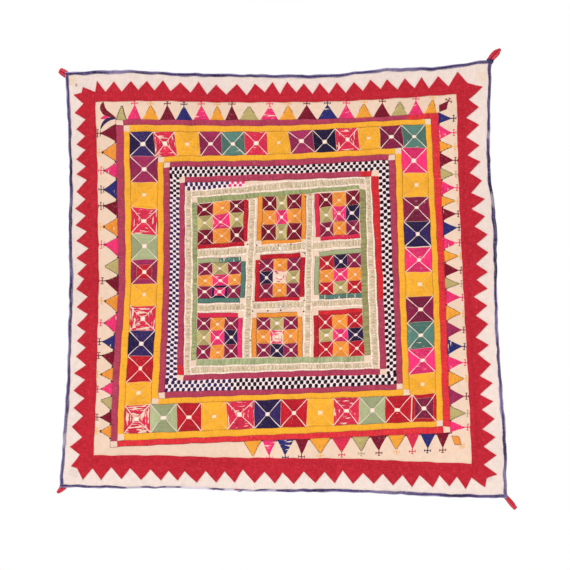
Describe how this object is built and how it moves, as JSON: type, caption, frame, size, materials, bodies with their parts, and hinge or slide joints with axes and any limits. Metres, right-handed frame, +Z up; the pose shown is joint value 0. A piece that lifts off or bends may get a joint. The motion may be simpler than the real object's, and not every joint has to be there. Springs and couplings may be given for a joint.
{
  "type": "mirror work tapestry",
  "caption": "Square hand-embroidered cotton wall hanging with bordered patchwork blocks, a red sawtooth frame, a bound edge and folded corner tabs.",
  "frame": {"origin": "middle of the top edge, where the hanging is held", "axes": "+X to the hanging's right as seen from the front, +Z up, -Y out of the embroidered front and +Y through the cloth to its back"},
  "size_m": [1.1216, 0.014, 1.1238],
  "materials": {
    "ground_cotton": "pale pinkish cream cotton, plain weave, slightly creased",
    "panel_cotton": "warm cream cotton under coloured floss",
    "red_cotton": "red cotton, open plain weave, matt",
    "navy_binding": "navy cotton, faded towards violet in places",
    "red_tab_cotton": "red cotton folded in two"
  },
  "bodies": {
    "root": {"ground_cloth": "ground_cotton", "embroidered_panel": "panel_cotton", "sawtooth_top": "red_cotton", "sawtooth_bottom": "red_cotton", "sawtooth_left": "red_cotton", "sawtooth_right": "red_cotton", "edge_binding_top": "navy_binding", "edge_binding_bottom": "navy_binding", "edge_binding_left": "navy_binding", "edge_binding_right": "navy_binding", "corner_tab_top_left": "red_tab_cotton", "corner_tab_top_right": "red_tab_cotton", "corner_tab_bottom_left": "red_tab_cotton", "corner_tab_bottom_right": "red_tab_cotton"}
  },
  "joints": []
}
